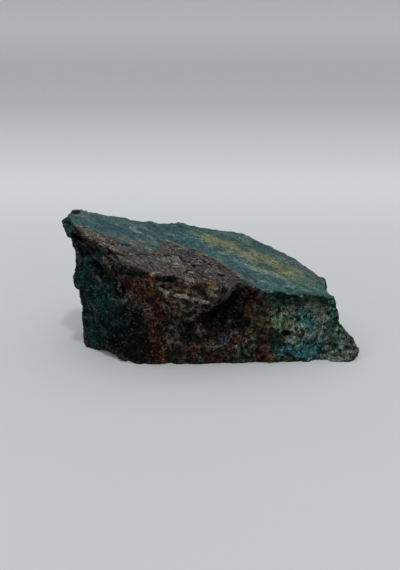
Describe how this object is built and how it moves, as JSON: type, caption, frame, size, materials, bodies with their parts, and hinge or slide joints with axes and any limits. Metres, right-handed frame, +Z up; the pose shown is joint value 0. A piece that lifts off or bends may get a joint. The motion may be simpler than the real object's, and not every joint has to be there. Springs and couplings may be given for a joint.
{
  "type": "rough turquoise stone",
  "caption": "Rough chunk of turquoise-bearing rock: a low wedge of broken stone with a smooth slip face on top, a flaky shelf, rough broken sides and a flat bottom to rest on.",
  "frame": {"origin": "middle of the bottom of the bounding box, on the surface that the stone rests on", "axes": "+X along the stone's length, towards its low end with the toe; +Y to its back; +Z up, out of the smooth top face"},
  "size_m": [0.109, 0.0518, 0.0481],
  "materials": {
    "stone": "broken matt rock, blue-green to brown"
  },
  "bodies": {
    "root": {"turquoise_stone": "stone"}
  },
  "joints": []
}
